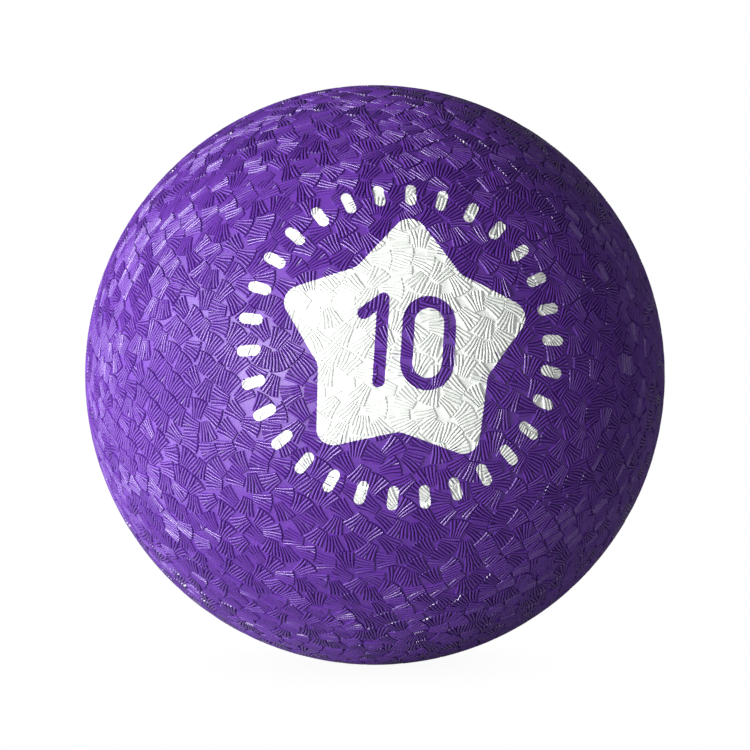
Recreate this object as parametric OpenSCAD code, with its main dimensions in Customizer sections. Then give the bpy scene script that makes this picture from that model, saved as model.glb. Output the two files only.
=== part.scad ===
/* [Ball] */
// Outer diameter of the inflated ball, over the tops of its moulded pattern
ball_d = 254; // [200:1:330]
// Wall of the coloured outer ply, under its moulded pattern
cover_wall = 1.2; // [1:0.1:2.5]
// Wall of the inner ply, which holds the air
bladder_wall = 0.8; // [0.5:0.1:1.5]
// Film of rubber cement between two layers
cement_film = 0.1; // [0.05:0.01:0.3]

/* [Moulded pattern] */
// Height of the fans over the smooth ground
relief = 0.9; // [0.4:0.05:1.2]
// Length of a fan, from its base to its wide end
fan_len = 8.4; // [7:0.1:9]
// Width of a fan at its base
fan_base_w = 4.4; // [3:0.1:6]
// Width of a fan at its wide end
fan_wide_w = 9.4; // [7:0.1:10]
// Steps between the rows of fans, from the ball's girth to the middle of its front or its back
fan_rows = 13; // [6:1:13]

/* [Valve plug] */
// Diameter of the plug's head, which shows in the cover
head_d = 7; // [6:0.1:9]
// How far the head lies below the bare ground round it
head_sink = 0.25; // [0.1:0.05:0.5]
// Chamfer round the head's top edge
head_edge = 0.3; // [0.1:0.05:0.5]
// Diameter of the neck, which the boot's throat holds
neck_d = 4.6; // [4.2:0.1:5.4]
// Length of the neck
neck_len = 8; // [5:0.5:12]
// Diameter of the locking bulb below the throat
bulb_d = 7; // [6:0.1:8.5]
// Length of the locking bulb
bulb_len = 5; // [3:0.5:8]
// Height of the bulb's conical lower end
bulb_taper = 2; // [0.5:0.1:2.5]
// Diameter of the tail
tail_d = 4.2; // [3.6:0.1:5.2]
// Length of the tail below the bulb
tail_len = 6; // [3:0.5:10]
// Chamfer at the tip of the tail
tail_edge = 0.6; // [0.2:0.1:1]

/* [Needle hole] */
// Diameter of the hole, which a standard 2 mm inflating needle stretches
needle_d = 1.9; // [1.6:0.05:2.2]
// Length of the round hole, below its funnel
needle_len = 10; // [6:0.5:12]
// Diameter of the funnel's mouth
funnel_d = 3; // [2.6:0.1:4]
// Depth of the funnel
funnel_depth = 0.7; // [0.4:0.1:1.2]
// Width of the self-sealing slit that goes on through the bulb and the tail
slit_w = 2.6; // [2:0.1:3.2]
// Gap between the lips of the slit
slit_gap = 0.12; // [0.1:0.02:0.3]

/* [Valve boot] */
// Diameter of the flange that is bonded inside the bladder
flange_d = 34; // [26:0.5:44]
// Thickness of the flange
flange_t = 1.2; // [0.8:0.1:2]
// Diameter of the collar that keys the boot into the bladder's hole
collar_d = 10.4; // [9.6:0.1:13]
// Diameter of the stem that points into the ball
stem_d = 12.4; // [11:0.1:16]
// Width of the conical root between the stem and the flange
root_w = 2.5; // [1:0.1:4]
// Height of the conical root
root_h = 3; // [1:0.1:5]
// Depth of the head's seat below the boot's outer face
seat_depth = 1.7; // [1.3:0.1:3]
// Wall that closes the stem below the bulb
end_wall = 1.5; // [1:0.1:3]
// Clearance all round the plug in the boot and in the cover
plug_gap = 0.1; // [0.05:0.01:0.15]

/* [Ring at the valve] */
// Diameter inside the raised ring, where the ground is bare
ring_in_d = 17; // [13:0.5:26]
// Width of the raised ring
ring_w = 1.6; // [1:0.1:3]

/* [Print] */
// Thickness of the white ink layer
print_t = 0.25; // [0.1:0.05:0.4]
// How far the middle of the print lies above the ball's middle, in degrees
print_lift = 5.9; // [0:0.1:20]
// Clockwise roll of the print, in degrees
print_roll = 4; // [-20:0.5:20]
// Radius of the star, to the points before they are rounded
star_r = 53; // [48:0.5:62]
// Radius of the star at its waists, as a share of its radius
star_waist_share = 0.65; // [0.62:0.01:0.75]
// Rounding of the star's points
tip_round = 6.5; // [3:0.5:8]
// Rounding of the star's waists
waist_round = 7; // [2:0.5:10]
// Gap from the star's radius to the ring of rays
ray_gap = 2; // [0:0.5:6]
// Length of a ray
ray_len = 9; // [6:0.5:12]
// Width of a ray
ray_w = 4.2; // [2.8:0.1:5]
// Number of rays in the ring
ray_count = 30; // [15:5:35]

/* [Size number] */
// Height of the figures
figure_h = 36.5; // [30:0.5:40]
// Width of the figure nought
nought_w = 21; // [16:0.5:23]
// Stroke of the figures
stroke = 4.8; // [3:0.1:6]
// Gap between the two figures
figure_gap = 5.3; // [4:0.1:7]
// Length of the flag on the figure one
flag_len = 9.5; // [6:0.1:11]
// Slope of the flag, in degrees
flag_slope = 40; // [25:1:50]

/* [Hidden] */

// Faces round a sphere, round a small turned piece, and along a rounded corner
$fn = 160;
turned_fn = 64;
corner_steps = 8;
// Points of the star
star_points = 5;
// How far a cutter runs past what it cuts
overrun = 1;
// How deep what stands on the ground is rooted in it
root_depth = 0.3;
// Turn of the spheres about the valve's axis, which keeps their seam off the middle of a fan
seam_turn = 2;
// Bare ground kept between the fans and both the print and the ring
bare_gap = 0.5;
// Turns that the fans take, in degrees
fan_turn = 45;

// Radii of the layers, from the outside in
ball_r = ball_d / 2;
ground_r = ball_r - relief;
cover_in_r = ground_r - cover_wall;
bladder_out_r = cover_in_r - cement_film;
bladder_in_r = bladder_out_r - bladder_wall;
boot_out_r = bladder_in_r - cement_film;
boot_in_r = boot_out_r - flange_t;

// Places along the valve's axis, measured from the ball's middle
head_top = ground_r - head_sink;
seat = boot_out_r - seat_depth;
neck_end = seat - neck_len;
bulb_end = neck_end - bulb_len;
tail_end = bulb_end - tail_len;
funnel_end = head_top - funnel_depth;
needle_end = funnel_end - needle_len;
stem_end = bulb_end - plug_gap - end_wall;

// The bore in the cover and the boot that takes the head
head_bore_d = head_d + 2 * plug_gap;

// Angle between two rows of fans, fans round the girth, and how far a fan reaches from its middle
row_angle = 90 / fan_rows;
girth_fans = 4 * fan_rows;
fan_reach = norm([fan_wide_w / 2, fan_len / 2]);

// Where the figures and the rays lie in the print
flag_reach = flag_len * cos(flag_slope) + stroke / 2;
pair_w = flag_reach + stroke / 2 + figure_gap + nought_w;
one_x = flag_reach - pair_w / 2;
nought_x = (pair_w - nought_w) / 2;
ray_start = star_r + ray_gap;

// A unit vector, a vector turned by an angle, and the arc that rounds one corner
function unit(v) = v / norm(v);
function turned(v, a) = [v.x * cos(a) - v.y * sin(a), v.x * sin(a) + v.y * cos(a)];
function corner_arc(before, at, after, r) =
    let (u = unit(before - at), w = unit(after - at), half = acos(u * w) / 2)
    let (middle = at + unit(u + w) * r / sin(half), start = at + u * r / tan(half) - middle)
    let (sweep = sign(cross(w, u)) * (180 - 2 * half))
    [for (i = [0:corner_steps]) middle + turned(start, sweep * i / corner_steps)];

// Corner i of the star: even ones are points, odd ones are waists
function star_corner(i) =
    star_r * (i % 2 == 0 ? 1 : star_waist_share)
    * [sin(i * 180 / star_points), cos(i * 180 / star_points)];

// Turns what is drawn along +Z to the valve's axis, at the back of the ball
module at_valve() {
    rotate([-90, 0, 0]) children();
}

// A round bore or boss on the valve's axis, between two distances from the ball's middle
module valve_round(d, from, to) {
    at_valve()
        translate([0, 0, from])
            cylinder(h = to - from, d = d, $fn = turned_fn);
}

// The space between two spheres about the ball's middle
module layer(outer_r, inner_r) {
    at_valve()
        rotate(seam_turn)
            difference() {
                sphere(r = outer_r);
                sphere(r = inner_r);
            }
}

// Fans in a row, and the direction of one of them in the frame whose +Z is the valve's axis
function row_count(row) = round(girth_fans * cos(row * row_angle));
function fan_azimuth(row, i) = (i + (row % 2 == 0 ? 0 : 1 / 2)) * 360 / row_count(row);
function fan_way(row, i) =
    let (a = row * row_angle, b = fan_azimuth(row, i))
    [cos(a) * cos(b), cos(a) * sin(b), sin(a)];

// Whether a fan lies clear of the print and of the ring at the valve
function fan_is_clear(way) =
    let (print_way = [0, -sin(print_lift), -cos(print_lift)], along = way * print_way)
    let (off_print = ball_r * norm(cross(way, print_way)), off_valve = ball_r * norm([way.x, way.y]))
    (along < 0 || off_print > ray_start + ray_len + fan_reach + bare_gap)
    && (way.z < 0 || off_valve > ring_in_d / 2 + ring_w + fan_reach + bare_gap);

// A straight stroke with round ends, from the origin along +X
module stroke_line(length, width) {
    circle(d = width, $fn = turned_fn);
    translate([0, -width / 2]) square([length, width]);
    translate([length, 0]) circle(d = width, $fn = turned_fn);
}

// An upright oval with straight sides and half-round ends, about the origin
module oval(width, height) {
    translate([0, (width - height) / 2])
        rotate(90) stroke_line(height - width, width);
}

// The figure one: an upright stroke and its flag
module figure_one() {
    oval(stroke, figure_h);
    translate([0, (figure_h - stroke) / 2])
        rotate(180 + flag_slope) stroke_line(flag_len, stroke);
}

// The figure nought: an oval ring
module figure_nought() {
    difference() {
        oval(nought_w, figure_h);
        oval(nought_w - 2 * stroke, figure_h - 2 * stroke);
    }
}

// The rounded star with the size number left open in it
module star_art() {
    last = 2 * star_points;
    outline = [for (i = [0:last - 1])
        each corner_arc(star_corner(i + last - 1), star_corner(i), star_corner(i + 1),
            i % 2 == 0 ? tip_round : waist_round)];
    difference() {
        polygon(outline);
        translate([one_x, 0]) figure_one();
        translate([nought_x, 0]) figure_nought();
    }
}

// The ring of short rays round the star
module ray_art() {
    for (i = [0:ray_count - 1])
        rotate((i + 1 / 2) * 360 / ray_count)
            translate([ray_start + ray_w / 2, 0]) stroke_line(ray_len - ray_w, ray_w);
}

// A column of the print's shape, from inside the ball out through its front
module print_column() {
    rotate([90 - print_lift, 0, 0])
        rotate(-print_roll)
            linear_extrude(height = ball_r + overrun) children();
}

// The ink layer: the part of such a column that lies just under the surface
module ink() {
    intersection() {
        layer(ball_r, ball_r - print_t);
        print_column() children();
    }
}

// One plain fan of the moulded pattern, standing on top of the ball. Its top is flat and touches
// the ball's outer sphere in the middle.
module fan() {
    translate([0, 0, ground_r - root_depth])
        linear_extrude(height = relief + root_depth)
            polygon([
                [-fan_base_w / 2, -fan_len / 2],
                [fan_base_w / 2, -fan_len / 2],
                [fan_wide_w / 2, fan_len / 2],
                [-fan_wide_w / 2, fan_len / 2],
            ]);
}

// The fans in their rows round the valve's axis, but for those near the print and the valve
module fans() {
    at_valve()
        for (row = [1 - fan_rows:fan_rows - 1], i = [0:row_count(row) - 1])
            if (fan_is_clear(fan_way(row, i)))
                rotate([0, 90 - row * row_angle, fan_azimuth(row, i)])
                    rotate((3 * row + 5 * i) * fan_turn) fan();
}

// The raised ring round the bare ground at the valve
module valve_ring() {
    intersection() {
        layer(ball_r, ground_r - root_depth);
        difference() {
            valve_round(ring_in_d + 2 * ring_w, boot_in_r, ball_r + overrun);
            valve_round(ring_in_d, boot_in_r - overrun, ball_r + 2 * overrun);
        }
    }
}

// The raised bed in the cover, which carries an ink layer level with the tops of the fans
module ink_bed() {
    intersection() {
        layer(ball_r - print_t, ground_r - root_depth);
        print_column() children();
    }
}

// Coloured outer ply: the ground with its fans, the ring and the hole at the valve, and the ink's beds
module outer_cover() {
    color([0.36, 0.18, 0.62])
        difference() {
            union() {
                layer(ground_r, cover_in_r);
                fans();
                valve_ring();
                ink_bed() star_art();
                ink_bed() ray_art();
            }
            valve_round(head_bore_d, boot_in_r, ball_r + overrun);
        }
}

// Black butyl inner ply, with a hole for the boot's collar
module bladder() {
    color([0.09, 0.09, 0.1])
        difference() {
            layer(bladder_out_r, bladder_in_r);
            valve_round(collar_d + 2 * plug_gap, boot_in_r - root_h, ball_r);
        }
}

// Rubber valve housing: flange, collar and stem round one stepped bore
module valve_boot() {
    color([0.14, 0.14, 0.15])
        difference() {
            union() {
                intersection() {
                    layer(boot_out_r, boot_in_r);
                    valve_round(flange_d, boot_in_r - root_h, boot_out_r + overrun);
                }
                intersection() {
                    sphere(r = bladder_out_r);
                    valve_round(collar_d, boot_in_r - root_h, bladder_out_r + overrun);
                }
                valve_round(stem_d, stem_end, boot_in_r);
                at_valve()
                    translate([0, 0, boot_in_r - root_h])
                        cylinder(h = root_h, d1 = stem_d, d2 = stem_d + 2 * root_w, $fn = turned_fn);
            }
            valve_round(head_bore_d, seat, ball_r);
            valve_round(neck_d + 2 * plug_gap, neck_end, seat + overrun);
            valve_round(bulb_d + 2 * plug_gap, bulb_end - plug_gap, neck_end + plug_gap);
            valve_round(tail_d + 2 * plug_gap, stem_end - overrun, neck_end);
        }
}

// Self-sealing core: head, neck, locking bulb and tail, with the needle's hole and slit
module valve_plug() {
    profile = [
        [0, tail_end],
        [tail_d / 2 - tail_edge, tail_end],
        [tail_d / 2, tail_end + tail_edge],
        [tail_d / 2, bulb_end],
        [bulb_d / 2, bulb_end + bulb_taper],
        [bulb_d / 2, neck_end],
        [neck_d / 2, neck_end],
        [neck_d / 2, seat],
        [head_d / 2, seat],
        [head_d / 2, head_top - head_edge],
        [head_d / 2 - head_edge, head_top],
        [0, head_top],
    ];
    color([0.2, 0.2, 0.21])
        difference() {
            at_valve() rotate_extrude($fn = turned_fn) polygon(profile);
            valve_round(needle_d, needle_end, ball_r);
            at_valve()
                translate([0, 0, funnel_end])
                    cylinder(h = funnel_depth, d1 = needle_d, d2 = funnel_d, $fn = turned_fn);
            at_valve()
                translate([-slit_w / 2, -slit_gap / 2, tail_end - overrun])
                    cube([slit_w, slit_gap, needle_end - tail_end + 2 * overrun]);
        }
}

// White screen-print ink: the star
module star_print() {
    color([0.95, 0.96, 0.95]) ink() star_art();
}

// White screen-print ink: the ring of rays
module dash_print() {
    color([0.95, 0.96, 0.95]) ink() ray_art();
}

outer_cover();
bladder();
valve_boot();
valve_plug();
star_print();
dash_print();
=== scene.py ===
"""The looks of a moulded rubber dodgeball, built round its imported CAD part.

Metres, +Z up, the printed side towards -Y and the valve towards +Y. The ball's cover is a
smooth ground with some three thousand identical raised fans on it. The white prints are ink
films that lie over the same ground and the same fans.
"""

import math

import bmesh
import bpy
import numpy as np
from mathutils import Matrix, Vector


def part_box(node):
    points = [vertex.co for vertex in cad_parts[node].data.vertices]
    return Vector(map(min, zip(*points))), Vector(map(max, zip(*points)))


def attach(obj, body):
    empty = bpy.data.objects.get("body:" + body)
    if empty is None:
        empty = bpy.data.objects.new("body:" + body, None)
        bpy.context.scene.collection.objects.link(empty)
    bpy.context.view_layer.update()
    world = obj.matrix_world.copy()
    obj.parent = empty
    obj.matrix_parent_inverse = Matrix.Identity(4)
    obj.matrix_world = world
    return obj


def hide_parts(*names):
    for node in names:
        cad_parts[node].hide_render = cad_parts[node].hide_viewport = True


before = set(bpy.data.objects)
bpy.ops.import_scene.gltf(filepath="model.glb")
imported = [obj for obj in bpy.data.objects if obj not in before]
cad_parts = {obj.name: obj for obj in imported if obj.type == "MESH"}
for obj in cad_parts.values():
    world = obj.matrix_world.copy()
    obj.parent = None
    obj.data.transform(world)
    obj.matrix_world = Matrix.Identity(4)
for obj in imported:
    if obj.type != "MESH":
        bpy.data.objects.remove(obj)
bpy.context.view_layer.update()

MM = 0.001
BAKE_MAP = "OFBake"

# Attributes: how open a spot lies, which sets where shade is painted into the grooves, a fan's height
# above the ground, and where its wide end points
OPENNESS = "openness"
RISE = "rise"
UPWARDS = "upwards"

# The ball, the relief on its cover and the hole for the valve, as in the CAD part
BALL_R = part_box("outer_cover")[1][2]
COVER_WALL = 1.2 * MM
RELIEF = 0.9 * MM
GROUND_R = BALL_R - RELIEF
HOLE_R = 3.6 * MM

# The moulded ring round the valve, with bare ground inside it, as in the CAD part
RING_IN_R = 8.5 * MM
RING_W = 1.6 * MM
PAD_R = RING_IN_R + RING_W

# The film of ink, nearly as thin as real screen-print ink
INK = 0.03 * MM

# The print: the star, its size number and its rays, as in the CAD part
PRINT_LIFT = math.radians(5.9)
PRINT_ROLL = math.radians(4)
STAR_R = 53 * MM
STAR_POINTS = 5
STAR_WAIST_SHARE = 0.65
TIP_ROUND = 6.5 * MM
WAIST_ROUND = 7 * MM
RAY_START = 55 * MM
RAY_LEN = 9 * MM
RAY_W = 4.2 * MM
RAY_COUNT = 30
FIGURE_H = 36.5 * MM
NOUGHT_W = 21 * MM
STROKE = 4.8 * MM
FIGURE_GAP = 5.3 * MM
FLAG_LEN = 9.5 * MM
FLAG_SLOPE = math.radians(40)

# One fan of the moulded pattern: narrow straight base, wide arched end, six ribs
FAN_LEN = 8.4 * MM
FAN_BASE_W = 4.4 * MM
FAN_WIDE_W = 9.4 * MM
FAN_ARC_R = 10.5 * MM
FAN_RIBS = 6
# the rib, counted from 0, that only starts half way along
SHORT_RIB = 2
# a fan's crest above the ground, with room for ink on it, and how deep its outer foot is sunk
FAN_CREST = RELIEF - INK
FAN_SUNK = 0.4 * MM
# the surface that each fan takes up
FAN_CELL = 64 * MM * MM

# Refractive indices of vulcanised rubber and of an ink's resin
RUBBER_IOR = 1.52
INK_IOR = 1.48

# The photograph's frame, in pixels, and how the ball lies in it
PHOTO_SIDE = 750
OUTLINE_R_PX = 290
CAMERA_LENS = 100
CAMERA_AZIMUTH = math.radians(-5.4)


def linear(hex_colour):
    """An sRGB hex colour as the linear values that shaders take."""
    srgb = [int(hex_colour[i:i + 2], 16) / 255 for i in (1, 3, 5)]
    return [c / 12.92 if c <= 0.04045 else ((c + 0.055) / 1.055) ** 2.4 for c in srgb] + [1]


def add_node(tree, kind, settings=None, **links):
    """Adds a node, sets its properties, and gives each input a value or a link.

    An input goes by its name, with _ for a space, or by i and its number.
    """
    node = tree.nodes.new(kind)
    for name, value in (settings or {}).items():
        setattr(node, name, value)
    for name, value in links.items():
        numbered = name[0] == "i" and name[1:].isdigit()
        key = int(name[1:]) if numbered else name.replace("_", " ")
        if isinstance(value, bpy.types.NodeSocket):
            tree.links.new(value, node.inputs[key])
        else:
            node.inputs[key].default_value = value
    return node


def new_material(name):
    """A material with an empty tree, that tree, and the place on the piece that its patterns read."""
    material = bpy.data.materials.new(name)
    material.use_nodes = True
    tree = material.node_tree
    tree.nodes.clear()
    return material, tree, add_node(tree, "ShaderNodeTexCoord").outputs["Object"]


def mottled(tree, place, size, low, high, detail=2):
    """A value that drifts between low and high, in blotches of about this size."""
    blotches = add_node(tree, "ShaderNodeTexNoise", Vector=place, Scale=1 / size, Detail=detail)
    return add_node(tree, "ShaderNodeMapRange", Value=blotches.outputs["Fac"], From_Min=0.3, From_Max=0.7,
                    To_Min=low, To_Max=high).outputs["Result"]


def wavy_skin(tree, place, size, depth, detail=2):
    """The normal of a skin that waves this deep, over about this size."""
    waves = add_node(tree, "ShaderNodeTexNoise", Vector=place, Scale=1 / size, Detail=detail)
    return add_node(tree, "ShaderNodeBump", Height=waves.outputs["Fac"], Distance=depth,
                    Strength=1.0).outputs["Normal"]


def set_surface(tree, colour, dull, skin, ior):
    """Makes a surface of this colour, roughness and skin the material's output."""
    shader = add_node(tree, "ShaderNodeBsdfPrincipled", Base_Color=colour, Roughness=dull, Normal=skin,
                      IOR=ior)
    add_node(tree, "ShaderNodeOutputMaterial", Surface=shader.outputs["BSDF"])


def moulded_purple_rubber(name, least_dull, most_dull):
    """Vulcanised natural rubber from a steel mould, with dull grooves and painted shade in them."""
    material, tree, place = new_material(name)
    # pigment mixed on a mill, so the tone drifts a little over a few centimetres
    drift = mottled(tree, place, 30 * MM, 0, 1)
    tops = add_node(tree, "ShaderNodeMix", {"data_type": "RGBA"}, Factor=drift, A=linear("#603196"),
                    B=linear("#582b8e")).outputs["Result"]
    # mould wax gathers between the ribs, where no hand rubs it off, and leaves them dark and dull
    # painted shade darkens the grooves between the ribs, where shade falls; they are also duller, as
    # mould wax gathers there that no hand rubs off
    openness = add_node(tree, "ShaderNodeAttribute", {"attribute_name": OPENNESS}).outputs["Fac"]
    rubbed_and_unshaded = add_node(tree, "ShaderNodeMapRange", {"interpolation_type": "SMOOTHSTEP"}, Value=openness,
                      From_Min=0.15, From_Max=0.8).outputs["Result"]
    # the dark colour here is painted shade in the grooves
    colour = add_node(tree, "ShaderNodeMix", {"data_type": "RGBA"}, Factor=rubbed_and_unshaded, A=linear("#280758"),
                      B=tops).outputs["Result"]
    # the mould's polish wears unevenly, which dulls patches a few millimetres wide
    polish = mottled(tree, place, 4 * MM, least_dull, most_dull, 3)
    groove_dull = 0.5
    dull = add_node(tree, "ShaderNodeMapRange", Value=rubbed_and_unshaded, To_Min=groove_dull,
                    To_Max=polish).outputs["Result"]
    # the skin draws in a little as it cools, which makes the gloss waver
    skin = wavy_skin(tree, place, 2.5 * MM, 0.03 * MM, 3)
    set_surface(tree, colour, dull, skin, RUBBER_IOR)
    return material


def screen_print_ink():
    """White screen-print ink on rubber: a thin film, a little duller than the rubber."""
    material, tree, place = new_material("screen_print_ink")
    # the film is a little thinner in places, which lets the ground darken it
    thinness = mottled(tree, place, 6 * MM, 0, 1)
    colour = add_node(tree, "ShaderNodeMix", {"data_type": "RGBA"}, Factor=thinness, A=linear("#e8ebe7"),
                      B=linear("#e1e4e0")).outputs["Result"]
    dull = mottled(tree, place, 1.5 * MM, 0.38, 0.48, 3)
    # the grain that the screen's mesh leaves, drawn coarser than it is so that it shows
    skin = wavy_skin(tree, place, 0.5 * MM, 0.01 * MM)
    set_surface(tree, colour, dull, skin, INK_IOR)
    return material


def black_rubber(name, dark, pale, dull, grain_size):
    """Rubber filled with carbon black, greyed in specks by the talc that keeps it from sticking."""
    material, tree, place = new_material(name)
    dust = mottled(tree, place, grain_size, 0, 1, 4)
    colour = add_node(tree, "ShaderNodeMix", {"data_type": "RGBA"}, Factor=dust, A=linear(dark),
                      B=linear(pale)).outputs["Result"]
    # the dust also dulls it unevenly
    unevenness = 0.06
    dusty = mottled(tree, place, grain_size / 2, dull - unevenness, dull + unevenness, 3)
    set_surface(tree, colour, dusty, wavy_skin(tree, place, grain_size / 4, 0.02 * MM), RUBBER_IOR)
    return material


def unit(vectors):
    """The vectors, each made 1 long."""
    return vectors / np.linalg.norm(vectors, axis=-1, keepdims=True)


def fan_half_width(share):
    """Half the fan's width at a share of its length, flaring towards its wide end."""
    flare = 1.15
    return (FAN_BASE_W + (FAN_WIDE_W - FAN_BASE_W) * share ** flare) / 2


def fan_discs():
    """Discs that fill one fan's outline, as (across, along, radius) rows."""
    # share of the fan's length, and how many discs lie side by side there
    rows = ((0.12, 2), (0.37, 2), (0.61, 3), (0.86, 4))
    clear = 0.2 * MM
    discs = []
    for share, count in rows:
        half = fan_half_width(share)
        radius = half / count
        for i in range(count):
            across = (half - radius) * (2 * i / (count - 1) - 1)
            along = (share - 0.5) * FAN_LEN - share * across ** 2 / (2 * FAN_ARC_R)
            discs.append((across, along, radius + clear / 2))
    return np.array(discs)


def spread_fans():
    """Places and turns the fans at random, then lets them push each other apart until they lie clear.

    Returns their outward and upward directions, as unit vectors.
    """
    seed = 11
    rng = np.random.default_rng(seed)
    count = round(4 * math.pi * GROUND_R ** 2 / FAN_CELL)
    golden = math.pi * (3 - math.sqrt(5))
    index = np.arange(count) + 0.5
    height = 1 - 2 * index / count
    ring = np.sqrt(1 - height ** 2)
    centres = np.stack([ring * np.cos(golden * index), ring * np.sin(golden * index), height], 1)
    ups = unit(np.cross(centres, rng.normal(size=(count, 3))))
    discs = fan_discs()
    across, along, radii = discs[:, 0, None], discs[:, 1, None], discs[:, 2]
    reach = radii[:, None] + radii[None, :]
    neighbour_reach = 13 * MM
    steps, steps_per_search, stiffness = 200, 10, 0.3
    spin_arm = FAN_LEN * 0.4
    no_length = 1e-9
    for step in range(steps):
        if step % steps_per_search == 0:
            near = np.triu(centres @ centres.T > math.cos(neighbour_reach / GROUND_R), 1)
            first, second = np.nonzero(near)
        sides = np.cross(ups, centres)
        arms = across * sides[:, None] + along * ups[:, None]
        spots = GROUND_R * centres[:, None] + arms
        gaps = spots[first][:, :, None] - spots[second][:, None]
        lengths = np.linalg.norm(gaps, axis=-1)
        push = np.maximum(reach - lengths, 0) / np.maximum(lengths, no_length)
        force = gaps * push[..., None]
        on_first, on_second = force.sum(2), -force.sum(1)
        shove, twist = np.zeros((count, 3)), np.zeros(count)
        for owner, pushed in ((first, on_first), (second, on_second)):
            total = pushed.sum(1)
            turn = (np.cross(arms[owner], pushed).sum(1) * centres[owner]).sum(1)
            for axis in range(3):
                shove[:, axis] += np.bincount(owner, total[:, axis], count)
            twist += np.bincount(owner, turn, count)
        # the bare ground and the ring round the valve keep the fans off
        off_axis = np.hypot(spots[..., 0], spots[..., 2])
        into_pad = np.where(spots[..., 1] > 0, np.maximum(PAD_R + radii - off_axis, 0), 0)
        away = spots * [1, 0, 1] / np.maximum(off_axis, no_length)[..., None]
        shove += (away * into_pad[..., None]).sum(1)
        centres = unit(centres + stiffness * shove / GROUND_R)
        angle = stiffness * twist / spin_arm ** 2
        ups = ups * np.cos(angle)[:, None] - sides * np.sin(angle)[:, None]
        ups = unit(ups - centres * (ups * centres).sum(1, keepdims=True))
    return centres, ups


def fan_mesh(name, grow=0.0):
    """One closed fan, lying flat with its base towards -Y. grow thickens it, as a film of ink does.

    Across, each rib has a foot, a shoulder, the two edges of its flat crest, a shoulder and a foot
    that its neighbour shares. Its UV map shows it from above, with its hidden underside drawn small
    in a free corner.
    """
    # shares of a rib's width and height
    profile = ((0, 0), (0.16, 0.6), (0.32, 1), (0.68, 1), (0.84, 0.6))
    step = len(profile)
    base_run, tip_run = 0.3 * MM, 0.55 * MM
    rows = (
        # share of the length, crest, height of the grooves, whether the short rib is there, end slope
        (0.0, FAN_CREST - 0.1 * MM, 0.5 * MM, False, -base_run),
        (0.46, FAN_CREST, -0.15 * MM, False, 0),
        (1 - tip_run / FAN_LEN, FAN_CREST, -0.2 * MM, True, tip_run),
    )
    bm = bmesh.new()
    found, group = {}, {}

    def vertex(x, y, z):
        key = (round(x, 8), round(y, 8), round(z, 8))
        if key not in found:
            found[key] = bm.verts.new(key)
        return found[key]

    def face(part, *corners):
        kept = [v for i, v in enumerate(corners) if v is not corners[i - 1]]
        if len(kept) > 2:
            made = bm.faces.new(kept)
            made.smooth = True
            group[made] = part

    def across(share, crest, groove, full, slope):
        """The fan's vertices at a share of its length, from its left foot to its right foot."""
        half = fan_half_width(share)
        steps = [i - (i > SHORT_RIB and not full) for i in range(FAN_RIBS + 1)]
        feet = [(2 * i / steps[-1] - 1) * half for i in steps]
        points = []
        for left, right in zip(feet, feet[1:]):
            foot = -FAN_SUNK if left == feet[0] else groove
            for x, z in profile:
                points.append((left + x * (right - left), z * crest if z and right > left else foot))
        points.append((feet[-1], -FAN_SUNK))
        made = []
        for x, z in points:
            y = (share - 0.5) * FAN_LEN - share * x * x / (2 * FAN_ARC_R)
            if slope:
                y += (slope + math.copysign(grow, slope)) * (crest - z) / (crest + FAN_SUNK)
            if z == -FAN_SUNK:
                made.append(vertex(x + math.copysign(grow, x), y, z))
            else:
                made.append(vertex(x, y, z + grow))
        return made

    lines = [across(*row) for row in rows]
    for lower, upper in zip(lines, lines[1:]):
        for i in range(len(lower) - 1):
            face(i // step, lower[i], lower[i + 1], upper[i + 1], upper[i])
    first, middle, last = lines
    for rib in range(FAN_RIBS):
        face("tip", *last[step * rib:step * (rib + 1) + 1])
    face("base", *reversed(first))
    face("under", first[-1], first[0], middle[0], *last[::step], middle[-1])
    for edge in bm.edges:
        edge.smooth = len({group[f] for f in edge.link_faces}) == 1
    bm.normal_update()
    layer = bm.loops.layers.uv.new(BAKE_MAP)
    margin = 1.04
    square = margin * max(FAN_WIDE_W, FAN_LEN + base_run)
    for f in bm.faces:
        scale, centre = (0.1, 0.06) if group[f] == "under" else (1, 0.5)
        for loop in f.loops:
            loop[layer].uv = [centre + scale * c / square for c in loop.vert.co.xy]
    mesh = bpy.data.meshes.new(name)
    bm.to_mesh(mesh)
    bm.free()
    heights = np.array([v.co.z for v in mesh.vertices], np.float32)
    store(mesh, RISE, heights)
    # the outer foot lies under open ground, so it gets no painted groove shade
    outer_foot = heights < -0.9 * FAN_SUNK
    store(mesh, OPENNESS, np.where(outer_foot, 1, np.clip(heights / FAN_CREST, 0, 1)))
    return mesh


def store(mesh, name, values):
    """Keeps one number for each vertex as a named attribute."""
    mesh.attributes.new(name, "FLOAT", "POINT").data.foreach_set("value", values)


def new_object(name, mesh):
    """An object in the scene that shows this mesh."""
    made = bpy.data.objects.new(name, mesh)
    bpy.context.scene.collection.objects.link(made)
    return made


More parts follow.
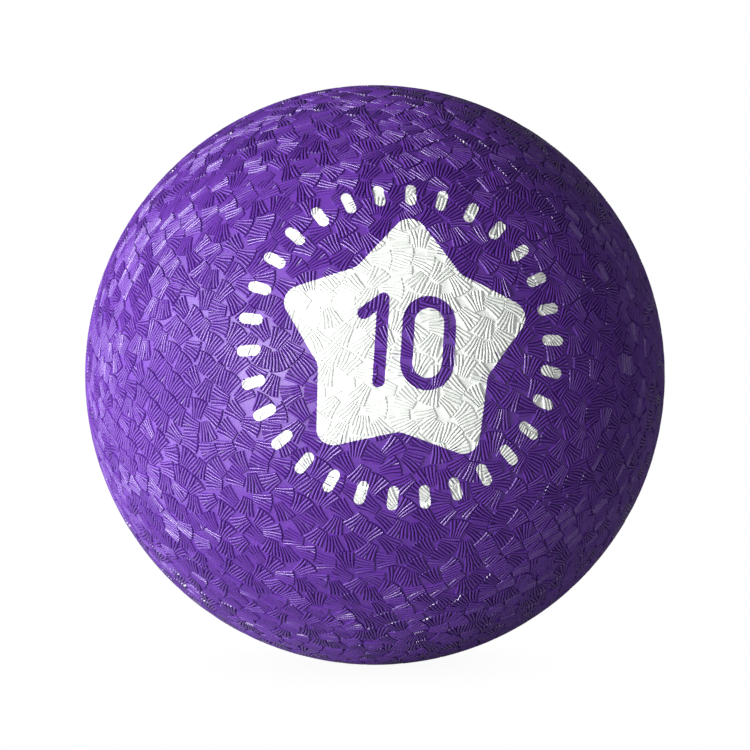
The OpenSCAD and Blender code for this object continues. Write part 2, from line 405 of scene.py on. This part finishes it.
def fan_tree():
    """Geometry Nodes: a fan on each point, turned outwards, wrapped onto the ball."""
    tree = bpy.data.node_groups.new("moulded_fans", "GeometryNodeTree")
    for name, kind in (("Places", "NodeSocketGeometry"), ("Fan", "NodeSocketObject"),
                       ("Ground radius", "NodeSocketFloat"), ("Finish", "NodeSocketMaterial")):
        tree.interface.new_socket(name, in_out="INPUT", socket_type=kind)
    tree.interface.new_socket("Fans", in_out="OUTPUT", socket_type="NodeSocketGeometry")
    given = add_node(tree, "NodeGroupInput").outputs
    place = add_node(tree, "GeometryNodeInputPosition").outputs["Position"]
    outwards = add_node(tree, "ShaderNodeVectorMath", {"operation": "NORMALIZE"}, i0=place).outputs[0]
    upwards = add_node(tree, "GeometryNodeInputNamedAttribute", {"data_type": "FLOAT_VECTOR"},
                       Name=UPWARDS)
    stood = add_node(tree, "FunctionNodeAlignRotationToVector", {"axis": "Z"}, Vector=outwards)
    turned = add_node(tree, "FunctionNodeAlignRotationToVector", {"axis": "Y", "pivot_axis": "Z"},
                      Rotation=stood.outputs["Rotation"], Vector=upwards.outputs["Attribute"])
    fan = add_node(tree, "GeometryNodeObjectInfo", Object=given["Fan"])
    copies = add_node(tree, "GeometryNodeInstanceOnPoints", Points=given["Places"],
                      Instance=fan.outputs["Geometry"], Rotation=turned.outputs["Rotation"])
    real = add_node(tree, "GeometryNodeRealizeInstances", Geometry=copies.outputs["Instances"])
    rise = add_node(tree, "GeometryNodeInputNamedAttribute", {"data_type": "FLOAT"}, Name=RISE)
    radius = add_node(tree, "ShaderNodeMath", {"operation": "ADD"}, i0=given["Ground radius"],
                      i1=rise.outputs["Attribute"])
    wrapped = add_node(tree, "ShaderNodeVectorMath", {"operation": "SCALE"}, i0=outwards,
                       Scale=radius.outputs[0])
    seated = add_node(tree, "GeometryNodeSetPosition", Geometry=real.outputs["Geometry"],
                      Position=wrapped.outputs[0])
    finished = add_node(tree, "GeometryNodeSetMaterial", Geometry=seated.outputs["Geometry"],
                        Material=given["Finish"])
    add_node(tree, "NodeGroupOutput", Fans=finished.outputs["Geometry"])
    return tree


def grown_fans(name, tree, template, centres, ups, material):
    """The fans at these places, as one plain mesh object."""
    points = bpy.data.meshes.new(name + "_places")
    points.from_pydata((centres * GROUND_R).tolist(), [], [])
    points.attributes.new(UPWARDS, "FLOAT_VECTOR", "POINT").data.foreach_set("vector", ups.ravel())
    maker = new_object(name + "_maker", points)
    modifier = maker.modifiers.new("moulded_fans", "NODES")
    modifier.node_group = tree
    named = {item.name: item.identifier for item in tree.interface.items_tree if item.in_out == "INPUT"}
    modifier[named["Fan"]] = template
    modifier[named["Ground radius"]] = GROUND_R
    modifier[named["Finish"]] = material
    bpy.context.view_layer.update()
    evaluated = maker.evaluated_get(bpy.context.evaluated_depsgraph_get())
    mesh = bpy.data.meshes.new_from_object(evaluated)
    mesh.name = name
    bpy.data.objects.remove(maker)
    # each fan gets a square of its own on the map
    layer = mesh.uv_layers[BAKE_MAP]
    spots = np.empty(2 * len(mesh.loops), np.float32)
    layer.uv.foreach_get("vector", spots)
    side = math.ceil(math.sqrt(len(centres)))
    cells = np.array([divmod(i, side) for i in range(len(centres))])
    spots = (spots.reshape(len(centres), -1, 2) + cells[:, None]) / side
    layer.uv.foreach_set("vector", spots.astype(np.float32).ravel())
    return new_object(name, mesh)


def cover_section():
    """The cover's section, as points of an angle from the valve's axis and a radius.

    It runs from the valve's hole along the outside to the far pole, and back along the inside.
    """
    hole, ring = HOLE_R / GROUND_R, RING_IN_R / GROUND_R
    lip = 0.2 * MM
    points = [(hole, GROUND_R - lip), (hole + lip / GROUND_R, GROUND_R)]
    points += [(hole + (ring - hole) * share, GROUND_R) for share in (0.25, 0.5, 0.75, 0.97)]
    ring_steps, ring_fullness = 10, 0.7
    for i in range(ring_steps + 1):
        share = i / ring_steps
        rise = RELIEF * math.sin(math.pi * share) ** ring_fullness
        points.append((ring + share * RING_W / GROUND_R, GROUND_R + rise))
    start = points[-1][0]
    outer_steps, inner_steps = 140, 60
    points += [(start + (math.pi - start) * i / outer_steps, GROUND_R) for i in range(1, outer_steps)]
    points.append((math.pi, GROUND_R))
    inner_r = GROUND_R - COVER_WALL
    inner_arc = math.pi - HOLE_R / inner_r
    points += [(math.pi - inner_arc * i / inner_steps, inner_r) for i in range(inner_steps + 1)]
    return points


def bridge(bm, lower, upper):
    """Smooth faces between two closed rings of vertices, of which either may be a single point."""
    count = max(len(lower), len(upper))
    for i in range(count):
        j = (i + 1) % count
        corners = [lower[i % len(lower)], lower[j % len(lower)]]
        corners += [upper[j % len(upper)], upper[i % len(upper)]]
        kept = [v for k, v in enumerate(corners) if v is not corners[k - 1]]
        if len(kept) > 2:
            bm.faces.new(kept).smooth = True


def turned_shell(name, section, material, segments=256):
    """A closed section turned about the Y axis."""
    bm = bmesh.new()
    turns = [2 * math.pi * i / segments for i in range(segments)]
    pole = 1e-6
    rings = []
    for angle, radius in section:
        out, along = radius * math.sin(angle), radius * math.cos(angle)
        if abs(math.sin(angle)) < pole:
            rings.append([bm.verts.new((0, along, 0))])
        else:
            rings.append([bm.verts.new((out * math.cos(t), along, out * math.sin(t))) for t in turns])
    for lower, upper in zip(rings, rings[1:] + rings[:1]):
        bridge(bm, lower, upper)
    bmesh.ops.recalc_face_normals(bm, faces=bm.faces)
    mesh = bpy.data.meshes.new(name)
    bm.to_mesh(mesh)
    bm.free()
    mesh.set_sharp_from_angle(angle=math.radians(60))
    store(mesh, OPENNESS, np.ones(len(mesh.vertices), np.float32))
    mesh.materials.append(material)
    return new_object(name, mesh)


def rounded(corners, radii, steps=8):
    """A closed outline with each corner rounded by an arc."""
    outline = []
    for i, at in enumerate(corners):
        to_last, to_next = unit(corners[i - 1] - at), unit(corners[(i + 1) % len(corners)] - at)
        half = math.acos(to_last @ to_next) / 2
        middle = at + unit(to_last + to_next) * radii[i] / math.sin(half)
        start = at + to_last * radii[i] / math.tan(half) - middle
        sweep = math.copysign(math.pi - 2 * half, to_next[0] * to_last[1] - to_next[1] * to_last[0])
        for k in range(steps + 1):
            c, s = math.cos(sweep * k / steps), math.sin(sweep * k / steps)
            outline.append(middle + [start[0] * c - start[1] * s, start[0] * s + start[1] * c])
    return np.array(outline)


def stroke_outline(start, end, width, steps=16):
    """The outline of a straight stroke with round ends."""
    start, end = np.array(start), np.array(end)
    lie = math.atan2(*(end - start)[::-1])
    outline = []
    for centre, first in ((end, lie - math.pi / 2), (start, lie + math.pi / 2)):
        for k in range(steps + 1):
            angle = first + math.pi * k / steps
            outline.append(centre + np.array([math.cos(angle), math.sin(angle)]) * width / 2)
    return np.array(outline)


def star_outline():
    """The rounded star, without its figures."""
    corners, radii = [], []
    for i in range(2 * STAR_POINTS):
        reach = STAR_R * (STAR_WAIST_SHARE if i % 2 else 1)
        turn = math.pi * i / STAR_POINTS
        corners.append(np.array([-reach * math.sin(turn), reach * math.cos(turn)]))
        radii.append(WAIST_ROUND if i % 2 else TIP_ROUND)
    return rounded(corners, radii)


def figure_outlines():
    """The figures: the two strokes of the one, then the outer and inner outline of the nought."""
    flag = FLAG_LEN * np.array([math.cos(FLAG_SLOPE), math.sin(FLAG_SLOPE)])
    flag_reach = flag[0] + STROKE / 2
    pair_w = flag_reach + STROKE / 2 + FIGURE_GAP + NOUGHT_W
    one_x, nought_x = flag_reach - pair_w / 2, (pair_w - NOUGHT_W) / 2
    rise = (FIGURE_H - STROKE) / 2
    upright = stroke_outline((one_x, -rise), (one_x, rise), STROKE)
    slant = stroke_outline((one_x, rise), (one_x - flag[0], rise - flag[1]), STROKE)
    oval_rise = (FIGURE_H - NOUGHT_W) / 2
    outer = stroke_outline((nought_x, -oval_rise), (nought_x, oval_rise), NOUGHT_W)
    inner = stroke_outline((nought_x, -oval_rise), (nought_x, oval_rise), NOUGHT_W - 2 * STROKE)
    return upright, slant, outer, inner


def ray_outlines():
    """The ring of short rays."""
    end_steps = 10
    outlines = []
    for i in range(RAY_COUNT):
        turn = 2 * math.pi * (i + 0.5) / RAY_COUNT
        way = np.array([math.cos(turn), math.sin(turn)])
        near_end, far_end = RAY_START + RAY_W / 2, RAY_START + RAY_LEN - RAY_W / 2
        outlines.append(stroke_outline(way * near_end, way * far_end, RAY_W, end_steps))
    return outlines


def print_matrix():
    """Turns the print's plane, drawn in XY and looking along +Z, to its place on the ball's front."""
    return Matrix.Rotation(math.pi / 2 - PRINT_LIFT, 4, "X") @ Matrix.Rotation(-PRINT_ROLL, 4, "Z")


def column(name, outlines):
    """A closed column for each outline, along the print's axis, that reaches right through the cover."""
    low, high = 70 * MM, 140 * MM
    bm = bmesh.new()
    for outline in outlines:
        rings = [[bm.verts.new((x, y, z)) for x, y in outline] for z in (low, high)]
        bm.faces.new(rings[0][::-1])
        bm.faces.new(rings[1])
        for i in range(len(outline)):
            bm.faces.new((rings[0][i - 1], rings[0][i], rings[1][i], rings[1][i - 1]))
    bmesh.ops.recalc_face_normals(bm, faces=bm.faces)
    bmesh.ops.transform(bm, matrix=print_matrix(), verts=bm.verts)
    mesh = bpy.data.meshes.new(name)
    bm.to_mesh(mesh)
    bm.free()
    return new_object(name, mesh)


def ground_film(name, material):
    """A closed round patch of ink over the smooth ground, a little wider than the whole print."""
    reach = RAY_START + RAY_LEN + 1 * MM
    rings, segments = 48, 200
    turns = [2 * math.pi * k / segments for k in range(segments)]
    bm = bmesh.new()
    layers = []
    for radius in (GROUND_R - FAN_SUNK, GROUND_R + INK):
        made = [[bm.verts.new((0, 0, radius))]]
        for i in range(1, rings + 1):
            angle = math.asin(reach / GROUND_R) * i / rings
            out, along = radius * math.sin(angle), radius * math.cos(angle)
            made.append([bm.verts.new((out * math.cos(t), out * math.sin(t), along)) for t in turns])
        layers.append(made)
    for made in layers:
        for lower, upper in zip(made, made[1:]):
            bridge(bm, lower, upper)
    bridge(bm, layers[0][-1], layers[1][-1])
    bmesh.ops.recalc_face_normals(bm, faces=bm.faces)
    bmesh.ops.transform(bm, matrix=print_matrix(), verts=bm.verts)
    mesh = bpy.data.meshes.new(name)
    bm.to_mesh(mesh)
    bm.free()
    mesh.materials.append(material)
    return new_object(name, mesh)


def cut(target, cutter, operation):
    """Applies a boolean of target with cutter, and leaves the result in target."""
    modifier = target.modifiers.new("cut", "BOOLEAN")
    modifier.operation = operation
    modifier.object = cutter
    modifier.solver = "MANIFOLD"
    evaluated = target.evaluated_get(bpy.context.evaluated_depsgraph_get())
    mesh = bpy.data.meshes.new_from_object(evaluated)
    target.modifiers.clear()
    target.data = mesh


def joined(name, parts):
    """The meshes of several objects as one object, with its cut edges sharp."""
    cut_edge = math.radians(75)
    bm = bmesh.new()
    for part in parts:
        bm.from_mesh(part.data)
    for edge in bm.edges:
        if edge.calc_face_angle(0) > cut_edge:
            edge.smooth = False
    mesh = bpy.data.meshes.new(name)
    bm.to_mesh(mesh)
    bm.free()
    mesh.materials.append(parts[0].data.materials[0])
    for part in parts:
        bpy.data.objects.remove(part)
    return new_object(name, mesh)


def set_camera():
    """The photograph's view: level with the ball's middle, so that its outline is as large as there."""
    data = bpy.data.cameras.new("camera")
    data.lens = CAMERA_LENS
    data.sensor_width = 36
    slope = math.atan(data.sensor_width / 2 / data.lens * OUTLINE_R_PX / (PHOTO_SIDE / 2))
    distance = BALL_R / math.sin(slope)
    camera = bpy.data.objects.new("camera", data)
    bpy.context.scene.collection.objects.link(camera)
    camera.location = (distance * math.sin(CAMERA_AZIMUTH), -distance * math.cos(CAMERA_AZIMUTH), 0)
    camera.rotation_euler = (math.pi / 2, 0, CAMERA_AZIMUTH)
    bpy.context.scene.camera = camera


def set_room():
    """White surroundings for the camera, and a room that lights the ball only weakly."""
    room_light = 0.12
    world = bpy.data.worlds.new("studio")
    bpy.context.scene.world = world
    world.use_nodes = True
    tree = world.node_tree
    tree.nodes.clear()
    seen = add_node(tree, "ShaderNodeLightPath").outputs["Is Camera Ray"]
    room = add_node(tree, "ShaderNodeBackground", Color=linear("#ffffff"), Strength=room_light)
    white = add_node(tree, "ShaderNodeBackground", Color=linear("#ffffff"), Strength=1.0)
    both = add_node(tree, "ShaderNodeMixShader", i0=seen, i1=room.outputs[0], i2=white.outputs[0])
    add_node(tree, "ShaderNodeOutputWorld", Surface=both.outputs[0])


def set_floor():
    """A pale floor, which the camera sees turn white away from the shadow under the ball."""
    material, tree, place = new_material("pale_floor_paint")
    reach = add_node(tree, "ShaderNodeVectorMath", {"operation": "LENGTH"}, i0=place).outputs["Value"]
    fade = add_node(tree, "ShaderNodeMapRange", {"interpolation_type": "SMOOTHSTEP"}, Value=reach,
                    From_Min=0.02, From_Max=0.16, To_Min=0.6, To_Max=1.0).outputs["Result"]
    seen = add_node(tree, "ShaderNodeLightPath").outputs["Is Camera Ray"]
    share = add_node(tree, "ShaderNodeMath", {"operation": "MULTIPLY"}, i0=fade, i1=seen).outputs[0]
    paint = add_node(tree, "ShaderNodeBsdfPrincipled", Base_Color=linear("#cccccc"), Roughness=0.8)
    white = add_node(tree, "ShaderNodeEmission", Color=linear("#ffffff"), Strength=1.0)
    both = add_node(tree, "ShaderNodeMixShader", i0=share, i1=paint.outputs[0], i2=white.outputs[0])
    add_node(tree, "ShaderNodeOutputMaterial", Surface=both.outputs[0])
    half_side = 6
    signs = ((-1, -1), (1, -1), (1, 1), (-1, 1))
    corners = [(x * half_side, y * half_side, -BALL_R) for x, y in signs]
    mesh = bpy.data.meshes.new("floor")
    mesh.from_pydata(corners, [], [(0, 1, 2, 3)])
    mesh.materials.append(material)
    new_object("floor", mesh)


def area_lamp(name, place, facing, wide, high, strength):
    """A rectangular lamp, which the camera doesn't see."""
    lamp = bpy.data.lights.new(name, "AREA")
    lamp.shape = "RECTANGLE"
    lamp.size, lamp.size_y = wide, high
    lamp.energy = strength
    made = bpy.data.objects.new(name, lamp)
    bpy.context.scene.collection.objects.link(made)
    made.location = place
    made.rotation_mode = "QUATERNION"
    made.rotation_quaternion = Vector(facing).to_track_quat("-Z", "Y")
    made.visible_camera = False


def set_lamps():
    """The studio's lamps: strong from the left, weak from the front right."""
    soft_boxes = (
        # name, azimuth with 0 straight in front and less to the left, elevation, distance, width,
        # height, strength
        ("left_softbox", -76, 19, 1.3, 0.8, 0.55, 12),
        ("front_left_softbox", -44, 4, 1.3, 0.3, 0.3, 16),
        ("front_fill", 25, 5, 1.6, 0.8, 0.8, 4),
        ("back_left_strip", -110, 12, 1.3, 0.5, 0.8, 1.5),
    )
    for name, azimuth, elevation, distance, wide, high, strength in soft_boxes:
        turn, lift = math.radians(azimuth), math.radians(elevation)
        way = Vector((math.sin(turn) * math.cos(lift), -math.cos(turn) * math.cos(lift), math.sin(lift)))
        area_lamp(name, way * distance, -way, wide, high, strength)
    # a bright card just over the floor, left of the ball, which shows in the gloss of its lower left
    card_z = 1.5 * MM - BALL_R
    area_lamp("floor_card", (-0.45, -0.25, card_z), (0, 0, 1), 0.5, 0.6, 3)


bpy.context.scene.view_settings.view_transform = "Standard"
set_camera()
set_room()
set_floor()
set_lamps()

# the fans are rubbed glossy in use, and the ground between them keeps the mould's blasted finish
fan_rubber = moulded_purple_rubber("glossy_purple_rubber", 0.22, 0.3)
ground_rubber = moulded_purple_rubber("satin_purple_rubber", 0.38, 0.48)
ink = screen_print_ink()
butyl = black_rubber("talc_dusted_butyl_rubber", "#161617", "#2b2b2d", 0.7, 3 * MM)
boot_rubber = black_rubber("moulded_boot_rubber", "#19191b", "#242426", 0.55, 2 * MM)
plug_rubber = black_rubber("moulded_plug_rubber", "#202023", "#2a2a2d", 0.45, 1 * MM)

for node, material in (("bladder", butyl), ("valve_boot", boot_rubber), ("valve_plug", plug_rubber)):
    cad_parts[node].data.materials[0] = material

ground = turned_shell("cover_ground", cover_section(), ground_rubber)
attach(ground, "root")
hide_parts("outer_cover")

centres, ups = spread_fans()
tree = fan_tree()
template = new_object("fan_template", fan_mesh("fan_template"))
# three bands of equal height, so that none has too many triangles
third = centres[:, 2] * 3
for band, inside in (("upper", third > 1), ("middle", abs(third) <= 1), ("lower", third < -1)):
    fans = grown_fans("cover_fans_" + band, tree, template, centres[inside], ups[inside], fan_rubber)
    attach(fans, "root")
    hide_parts("outer_cover")
bpy.data.objects.remove(template)

inked_template = new_object("inked_fan_template", fan_mesh("inked_fan_template", INK))
axis = print_matrix() @ Vector((0, 0, 1))
under_print = centres @ np.array(axis) > math.cos((RAY_START + RAY_LEN + FAN_LEN) / GROUND_R)


def inked_fans(name):
    """The film of ink over every fan at the print."""
    return grown_fans(name + "_fans", tree, inked_template, centres[under_print], ups[under_print], ink)


def printed(name, outlines, holes=(), islands=()):
    """The ink film over ground and fans inside outlines, less the holes, with the islands put back."""
    parts = []
    cutters = [column(name + "_column", outlines)]
    cutters += [column(name + "_hole", [hole]) for hole in holes]
    spare = [column(name + "_island", [island]) for island in islands]
    for film in (ground_film(name + "_ground", ink), inked_fans(name)):
        kept = [new_object(name + "_kept", film.data.copy()) for _ in spare]
        cut(film, cutters[0], "INTERSECT")
        for cutter in cutters[1:]:
            cut(film, cutter, "DIFFERENCE")
        parts.append(film)
        for piece, island in zip(kept, spare):
            cut(piece, island, "INTERSECT")
            parts.append(piece)
    for used in cutters + spare:
        bpy.data.objects.remove(used)
    return joined(name, parts)


upright, slant, outer, inner = figure_outlines()
star = printed("star_print", [star_outline()], [upright, slant, outer], [inner])
rays = printed("dash_print", ray_outlines())
for piece, node in ((star, "star_print"), (rays, "dash_print")):
    piece.name = "ink_" + node
    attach(piece, "root")
    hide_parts(node)
bpy.data.objects.remove(inked_template)
